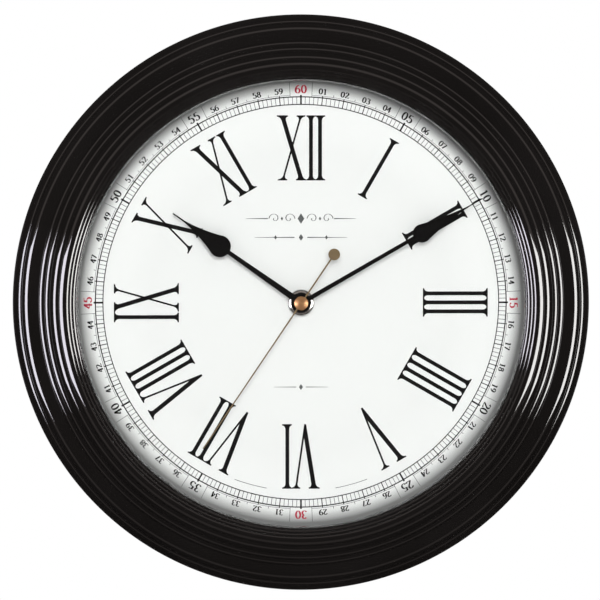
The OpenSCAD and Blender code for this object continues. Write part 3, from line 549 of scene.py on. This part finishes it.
class Print:
    """One ink: flat closed slabs that lie on the dial, gathered into one mesh."""

    def __init__(self, name, slot):
        self.name, self.slot = name, slot
        self.verts, self.faces = [], []

    def _layer(self, points, y):
        first = len(self.verts)
        self.verts += [(x * MM, y, z * MM) for x, z in points]
        return list(range(first, first + len(points)))

    def outline(self, points):
        """A closed outline, filled. Points run anticlockwise as the viewer sees them."""
        if sum(a[0] * b[1] - b[0] * a[1] for a, b in zip(points, points[1:] + points[:1])) < 0:
            points = points[::-1]
        back = self._layer(points, DIAL_Y + INK_SINK)
        front = self._layer(points, DIAL_Y - INK_T)
        for tri in tessellate_polygon([[Vector((x, z, 0)) for x, z in points]]):
            a, b, c = (points[i] for i in tri)
            if (b[0] - a[0]) * (c[1] - a[1]) - (c[0] - a[0]) * (b[1] - a[1]) < 0:
                tri = tri[::-1]
            self.faces.append([front[i] for i in tri])
            self.faces.append([back[i] for i in tri][::-1])
        n = len(points)
        for i in range(n):
            j = (i + 1) % n
            self.faces.append([front[i], back[i], back[j], front[j]])

    def band(self, inner, outer):
        """A closed loop between two rows of points."""
        rows = [self._layer(row, y) for row, y in (
            (inner, DIAL_Y + INK_SINK), (inner, DIAL_Y - INK_T),
            (outer, DIAL_Y - INK_T), (outer, DIAL_Y + INK_SINK))]
        n = len(inner)
        for i in range(n):
            j = (i + 1) % n
            for k in range(4):
                a, b = rows[k], rows[(k + 1) % 4]
                self.faces.append([a[i], b[i], b[j], a[j]])

    def circle(self, radius, width, steps=360):
        step = 360 / steps
        self.band([polar(radius - width / 2, i * step) for i in range(steps)],
                  [polar(radius + width / 2, i * step) for i in range(steps)])

    def arc(self, radius, width, start, end, steps=12):
        angles = [start + (end - start) * i / steps for i in range(steps + 1)]
        self.outline([polar(radius - width / 2, a) for a in angles]
                     + [polar(radius + width / 2, a) for a in reversed(angles)])

    def tick(self, clock_angle, inner, outer, width):
        h = width / 2
        self.outline(turn([(-h, inner), (h, inner), (h, outer), (-h, outer)], clock_angle))

    def pen(self, path, thin, thick, place, closed=False):
        """A pen stroke along a path: broad where it runs up or down, thin where it runs across."""
        left, right = [], []
        n = len(path)
        for i, (x, y) in enumerate(path):
            before = path[i - 1] if i or closed else path[i]
            after = path[(i + 1) % n] if i < n - 1 or closed else path[i]
            dx, dy = after[0] - before[0], after[1] - before[1]
            length = math.hypot(dx, dy)
            dx, dy = dx / length, dy / length
            half = (thin + (thick - thin) * abs(dy) ** 1.3) / 2
            left.append((x - dy * half, y + dx * half))
            right.append((x + dy * half, y - dx * half))
        left, right = place(left), place(right)
        if closed:
            self.band(left, right)
        else:
            self.outline(left + right[::-1])

    def build(self):
        mesh = bpy.data.meshes.new(self.name)
        mesh.from_pydata(self.verts, [], self.faces)
        mesh.update()
        piece = bpy.data.objects.new(self.name, mesh)
        bpy.context.scene.collection.objects.link(piece)
        mesh.materials.append(materials[self.slot])
        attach(piece, "root")
        return piece


# Roman numerals: strokes with bracketed serifs, feet towards the centre
FOOT_R, HEAD_R = 64.8, 99.3
STEM_W, HAIR_W, HEAVY_W = 2.05, 1.0, 2.35
STEM_GAP = 4.8  # from one upright's centre to the next
SERIF_T, SERIF_OUT, BRACKET_H = 0.7, 1.75, 2.1
JOINED = (STEM_GAP - STEM_W) / 2  # serifs of neighbouring strokes meet
V_REACH, X_REACH = 4.9, 5.15  # half of the width between a letter's slanting strokes
POINT_H, POINT_SHIFT = 4.6, 0.55  # a V's pointed foot
X_INSET = 0.3  # how far an X's thin stroke stands in from its thick one
V_EXTRA, X_EXTRA = 0.3, 0.5  # what a thin stroke's outer serif is longer by


def bracket(x_edge, side, y_serif, towards, out):
    """The hollow curve between a serif's end and the stroke's edge."""
    steps = 6
    x_far = x_edge(y_serif) + side * out
    points = []
    for i in range(steps + 1):
        a = math.pi / 2 * i / steps
        y = y_serif + towards * BRACKET_H * (1 - math.cos(a))
        points.append((x_edge(y) + side * out * (1 - math.sin(a)), y))
    points[0] = (x_far, y_serif)
    return points


def stroke(x_foot, x_head, width, foot=None, head=None):
    """Outline of one stroke. foot and head are its serifs' reaches to the left and right."""
    def edge(side):
        return lambda y: (x_foot + (x_head - x_foot) * (y - FOOT_R) / (HEAD_R - FOOT_R)
                          + side * width / 2)
    points = []
    for side, ends in ((1, ("foot", "head")), (-1, ("head", "foot"))):
        for end in ends:
            serif = foot if end == "foot" else head
            y_end = FOOT_R if end == "foot" else HEAD_R
            towards = 1 if end == "foot" else -1
            if serif is None:
                points.append((edge(side)(y_end), y_end))
                continue
            out = serif[0] if side < 0 else serif[1]
            curve = bracket(edge(side), side, y_end + towards * SERIF_T, towards, out)
            run = [(edge(side)(y_end) + side * out, y_end)] + curve
            going_up = side > 0
            points += run if (end == "foot") == going_up else run[::-1]
    return points


def numeral(text):
    """Strokes of a roman numeral, centred on x = 0."""
    strokes, x = [], 0.0
    for i, letter in enumerate(text):
        left = JOINED if i else SERIF_OUT
        right = JOINED if i < len(text) - 1 else SERIF_OUT
        if letter == "I":
            x += left + STEM_W / 2
            strokes.append(stroke(x, x, STEM_W, (left, right), (left, right)))
            x += STEM_W / 2 + right
        elif letter == "V":
            x += left + HEAVY_W / 2
            mid, far = x + V_REACH, x + 2 * V_REACH
            foot_x = mid + HEAVY_W / 2 - POINT_SHIFT
            down = stroke(foot_x, x, HEAVY_W, None, (left, SERIF_OUT))
            rise = (x - foot_x) * POINT_H / (HEAD_R - FOOT_R)
            down[0] = (foot_x + rise + HEAVY_W / 2, FOOT_R + POINT_H)
            strokes.append(down)
            strokes.append(stroke(mid, far, HAIR_W, None, (SERIF_OUT, right + V_EXTRA)))
            x = far + HAIR_W / 2 + right + V_EXTRA
        else:
            x += left + HEAVY_W / 2
            far = x + 2 * X_REACH
            strokes.append(stroke(far, x, HEAVY_W, (SERIF_OUT, right), (left, SERIF_OUT)))
            strokes.append(stroke(x + X_INSET, far - X_INSET, HAIR_W,
                                  (left + X_EXTRA, SERIF_OUT), (SERIF_OUT, right + X_EXTRA)))
            x = far + HEAVY_W / 2 + right
    return [[(px - x / 2, py) for px, py in points] for points in strokes]


def bend(cx, cy, rx, ry, start, end, steps=14):
    return [(cx + rx * math.cos(math.radians(start + (end - start) * i / steps)),
             cy + ry * math.sin(math.radians(start + (end - start) * i / steps)))
            for i in range(steps + 1)]


def loop(cx, cy, rx, ry, steps=24):
    return bend(cx, cy, rx, ry, 0, 360, steps)[:-1]


# Digits in a cell one unit high: open pen paths, then closed loops
DIGITS = {
    "0": ([], [loop(0.27, 0.5, 0.2, 0.46)]),
    "1": ([[(0.12, 0.82), (0.28, 0.95)], [(0.28, 0.96), (0.28, 0.03)],
           [(0.12, 0.025), (0.44, 0.025)]], []),
    "2": ([bend(0.26, 0.73, 0.19, 0.23, 170, -35) + [(0.07, 0.06)], [(0.06, 0.06), (0.48, 0.06)],
           [(0.48, 0.05), (0.5, 0.2)]], []),
    "3": ([bend(0.25, 0.75, 0.17, 0.21, 155, -90), bend(0.25, 0.28, 0.2, 0.25, 90, -155)], []),
    "4": ([[(0.36, 0.97), (0.05, 0.3)], [(0.04, 0.29), (0.52, 0.29)], [(0.37, 0.97), (0.37, 0.02)],
           [(0.26, 0.02), (0.48, 0.02)]], []),
    "5": ([[(0.46, 0.94), (0.15, 0.94)], [(0.15, 0.96), (0.11, 0.56)],
           bend(0.25, 0.31, 0.21, 0.29, 125, -155)], []),
    "6": ([bend(0.44, 0.34, 0.37, 0.62, 95, 180)], [loop(0.27, 0.3, 0.19, 0.27)]),
    "7": ([[(0.07, 0.8), (0.08, 0.93)], [(0.07, 0.93), (0.47, 0.93)],
           [(0.46, 0.94), (0.2, 0.02)]], []),
    "8": ([], [loop(0.27, 0.74, 0.15, 0.21), loop(0.27, 0.27, 0.19, 0.24)]),
    "9": ([bend(0.1, 0.66, 0.37, 0.62, -85, 0)], [loop(0.27, 0.7, 0.19, 0.27)]),
}
DIGIT_STEP, DIGIT_STRETCH = 0.74, 1.28
# The pen's widths, in cell heights, and the feet and heights of both sizes, in mm
PEN_THIN, PEN_THICK, PEN_THICK_BIG = 0.075, 0.19, 0.17
BIG_FOOT_R, BIG_H = 111.0, 4.4
SMALL_FOOT_R, SMALL_H = 110.9, 3.1


def number(ink, text, clock_angle, foot_r, height):
    """A number whose feet stand on a circle, its head outwards."""
    thin, thick = PEN_THIN, PEN_THICK_BIG if height == BIG_H else PEN_THICK
    for i, digit in enumerate(text):
        shift = (i - len(text) / 2) * DIGIT_STEP

        def place(points):
            return turn([((x * DIGIT_STRETCH + shift) * height, foot_r + y * height)
                         for x, y in points], clock_angle)

        opened, loops = DIGITS[digit]
        for path in opened:
            ink.pen(path, thin, thick, place)
        for path in loops:
            ink.pen(path, thin, thick, place, closed=True)


# Radii of the minute track, in mm
TRACK_IN, TRACK_OUT, FINE_R = 105.1, 109.1, 110.05
TICK_OUT, HALF_OUT, BOX_OUT = 110.1, 111.3, 117.0
BOX_HALF = 3.0  # degrees from a five-minute number to the sides of its box
# Line widths, in mm
RAIL_IN_W, RAIL_OUT_W, TICK_W, BOLD_W = 0.5, 0.6, 0.48, 0.9
FINE_RAIL_W, FINE_TICK_W, HALF_W, BOX_W = 0.22, 0.3, 0.28, 0.26


def print_numerals():
    ink = Print("dial_numerals", "ink_black")
    texts = ("I", "II", "III", "IIII", "V", "VI", "VII", "VIII", "IX", "X", "XI", "XII")
    for hour, text in enumerate(texts, 1):
        for points in numeral(text):
            ink.outline(turn(points, hour * 30))
    ink.build()


def print_track():
    ink = Print("dial_track", "ink_black")
    ink.circle(TRACK_IN, RAIL_IN_W)
    ink.circle(TRACK_OUT, RAIL_OUT_W)
    for minute in range(60):
        bold = minute % 5 == 0
        ink.tick(minute * 6, TRACK_IN, TICK_OUT, BOLD_W if bold else TICK_W)
    ink.build()


def print_fine_track():
    ink = Print("dial_fine_track", "ink_grey")
    for five in range(12):
        ink.arc(FINE_R, FINE_RAIL_W, five * 30 + BOX_HALF, five * 30 + 30 - BOX_HALF, 24)
        for side in (-1, 1):
            ink.tick(five * 30 + side * BOX_HALF, TRACK_OUT, BOX_OUT, BOX_W)
    for minute in range(60):
        for fifth in range(1, 5):
            ink.tick(minute * 6 + fifth * 1.2, TRACK_IN, TRACK_OUT, FINE_TICK_W)
        if minute % 5 not in (0, 4):
            ink.tick(minute * 6 + 3, FINE_R, HALF_OUT, HALF_W)
    ink.build()


def print_numbers():
    black = Print("minute_numbers", "ink_black")
    red = Print("quarter_numbers", "ink_red")
    for minute in range(1, 61):
        big = minute % 5 == 0
        number(red if minute % 15 == 0 else black, f"{minute:02d}", minute * 6,
               BIG_FOOT_R if big else SMALL_FOOT_R, BIG_H if big else SMALL_H)
    black.build()
    red.build()


def print_ornament():
    """Thin rules, lozenges and scrolls: plain printers' ornament, with no lettering."""
    ink = Print("dial_ornament", "ink_grey")

    def lozenge(x, y, w, h):
        ink.outline([(x - w / 2, y), (x, y - h / 2), (x + w / 2, y), (x, y + h / 2)])

    def rule(x0, x1, y, w):
        ink.outline([(x0, y - w / 6), (x1, y - w / 2), (x1, y + w / 2), (x0, y + w / 6)])

    def scroll(x, y, size, side):
        turns = [(x + side * size * (1 - t) * math.cos(7.5 * t),
                  y + size * (1 - t) * math.sin(7.5 * t)) for t in (i / 30 for i in range(28))]
        ink.pen(turns, 0.18, 0.5, lambda p: p)

    top, middle, foot = 44.6, 34.6, -45.0  # heights of the three rows over the hub
    lozenge(0, top, 3.6, 5.6)
    for side in (-1, 1):
        scroll(side * 6.2, top, 3.0, -side)
        scroll(side * 14.0, top, 3.0, side)
        rule(side * 29.0, side * 17.6, top, 0.6)
        lozenge(side * 10.1, top, 1.3, 2.2)
        rule(side * 24.5, side * 3.4, middle, 0.55)
        lozenge(side * 13.5, middle, 1.6, 2.4)
        rule(side * 14.5, side * 2.6, foot, 0.45)
        ink.arc(100.6, 0.3, 180 + side * 10.5, 180 + side * 20.5)
    lozenge(0, middle, 2.4, 3.6)
    lozenge(0, foot, 2.2, 3.2)
    ink.build()


print_numerals()
print_track()
print_fine_track()
print_numbers()
print_ornament()


# --- Light, floor and camera ---------------------------------------------------------

OBJECT_CENTRE = Vector((0, 0.5 * (cad_bounds[0][1] + cad_bounds[1][1]), 0))
AIM = OBJECT_CENTRE + Vector((-0.5, 0, 1.3)) * MM
SOFT_STRENGTH = 0.62  # the white that matt surfaces see
ROOM_DARK = (0.08, 0.07, 0.066)
ROOM_GLOW = (0.78, 0.68, 0.64)
# The ring of light, by 1 + Y of the way a reflection looks. It lies 45 to 55 degrees off
# the clock's front.
ROOM_RING = ((0.16, ROOM_DARK), (0.29, ROOM_GLOW), (0.42, ROOM_GLOW), (0.56, ROOM_DARK))
# The room is darker towards its floor, by Z of that way
ROOM_LEVEL = (("From Min", -0.6), ("From Max", 0.1), ("To Min", 0.45), ("To Max", 1.0))


def studio_world():
    """White for the camera, soft white for matt surfaces, and for reflections a dark room
    with a faint ring of light round the clock's front."""
    world = bpy.data.worlds.new("studio")
    bpy.context.scene.world = world
    world.use_nodes = True
    tree = world.node_tree
    out = tree.nodes["World Output"]
    soft = tree.nodes["Background"]
    soft.inputs["Color"].default_value = (0.99, 0.99, 0.99, 1)
    soft.inputs["Strength"].default_value = SOFT_STRENGTH
    dark = tree.nodes.new("ShaderNodeBackground")
    way = tree.nodes.new("ShaderNodeSeparateXYZ")
    tree.links.new(tree.nodes.new("ShaderNodeTexCoord").outputs["Generated"], way.inputs["Vector"])
    ring = tree.nodes.new("ShaderNodeValToRGB")
    for i, (at, colour) in enumerate(ROOM_RING):
        stop = ring.color_ramp.elements[i] if i < 2 else ring.color_ramp.elements.new(0.99)
        stop.position, stop.color = at, (*colour, 1)
    shift = tree.nodes.new("ShaderNodeMath")
    shift.inputs[1].default_value = 1.0
    tree.links.new(way.outputs["Y"], shift.inputs[0])
    tree.links.new(shift.outputs[0], ring.inputs["Fac"])
    tree.links.new(ring.outputs["Color"], dark.inputs["Color"])
    level = tree.nodes.new("ShaderNodeMapRange")
    for name, value in ROOM_LEVEL:
        level.inputs[name].default_value = value
    tree.links.new(way.outputs["Z"], level.inputs["Value"])
    tree.links.new(level.outputs["Result"], dark.inputs["Strength"])
    white = tree.nodes.new("ShaderNodeBackground")
    white.inputs["Color"].default_value = (1, 1, 1, 1)
    path = tree.nodes.new("ShaderNodeLightPath")
    by_gloss = tree.nodes.new("ShaderNodeMixShader")
    by_camera = tree.nodes.new("ShaderNodeMixShader")
    tree.links.new(path.outputs["Is Glossy Ray"], by_gloss.inputs["Fac"])
    tree.links.new(soft.outputs[0], by_gloss.inputs[1])
    tree.links.new(dark.outputs[0], by_gloss.inputs[2])
    tree.links.new(path.outputs["Is Camera Ray"], by_camera.inputs["Fac"])
    tree.links.new(by_gloss.outputs[0], by_camera.inputs[1])
    tree.links.new(white.outputs[0], by_camera.inputs[2])
    tree.links.new(by_camera.outputs[0], out.inputs["Surface"])


def direction(azimuth, elevation):
    """From the clock outwards. Azimuth 0 is straight in front, positive to the right."""
    az, el = math.radians(azimuth), math.radians(elevation)
    return Vector((math.sin(az) * math.cos(el), -math.cos(az) * math.cos(el), math.sin(el)))


def softbox(name, azimuth, elevation, distance, size, power, role, colour=(1, 1, 1)):
    """An area light aimed at the clock. With the role "reflection" it is only seen in
    reflections; with the role "matt" it only lights matt surfaces."""
    way = direction(azimuth, elevation)
    lamp = bpy.data.lights.new(name, "AREA")
    lamp.shape = "RECTANGLE"
    lamp.size, lamp.size_y = size
    lamp.energy = power
    lamp.color = colour
    obj = bpy.data.objects.new(name, lamp)
    obj.location = OBJECT_CENTRE + way * distance
    obj.rotation_euler = (-way).to_track_quat("-Z", "Y").to_euler()
    obj.visible_diffuse = role != "reflection"
    obj.visible_glossy = role != "matt"
    obj.visible_camera = False
    bpy.context.scene.collection.objects.link(obj)


def floor():
    """A pale floor under the clock, below the camera's view."""
    half, z = 0.9, -0.42
    corners = [(-half, -half, z), (half, -half, z), (half, half, z), (-half, half, z)]
    mesh = bpy.data.meshes.new("floor")
    mesh.from_pydata(corners, [], [(0, 1, 2, 3)])
    obj = bpy.data.objects.new("floor", mesh)
    bpy.context.scene.collection.objects.link(obj)
    mesh.materials.append(finish("floor_pale", (0.8, 0.8, 0.8), 0.7, mottle=0.02).mat)
    obj.visible_glossy = False


def camera(azimuth, elevation, distance, span, aim):
    """A long lens whose picture is span wide at the aim point."""
    way = direction(azimuth, elevation)
    cam = bpy.data.cameras.new("camera")
    cam.sensor_width = 36.0
    cam.lens = cam.sensor_width * distance / span
    obj = bpy.data.objects.new("camera", cam)
    obj.location = aim + way * distance
    obj.rotation_euler = (-way).to_track_quat("-Z", "Y").to_euler()
    bpy.context.scene.collection.objects.link(obj)
    bpy.context.scene.camera = obj


studio_world()
softbox("softbox_left", -52, -6, 3.0, (1.5, 1.5), 140, "reflection", (0.93, 0.9, 1.0))
softbox("softbox_right", 52, -6, 3.0, (1.5, 1.5), 140, "reflection", (1.0, 0.985, 0.97))
softbox("key", 2, 16, 3.0, (1.3, 1.3), 78, "matt")
floor()
camera(azimuth=-1.0, elevation=3.0, distance=2.0, span=0.3188, aim=AIM)
bpy.context.scene.view_settings.view_transform = "Standard"
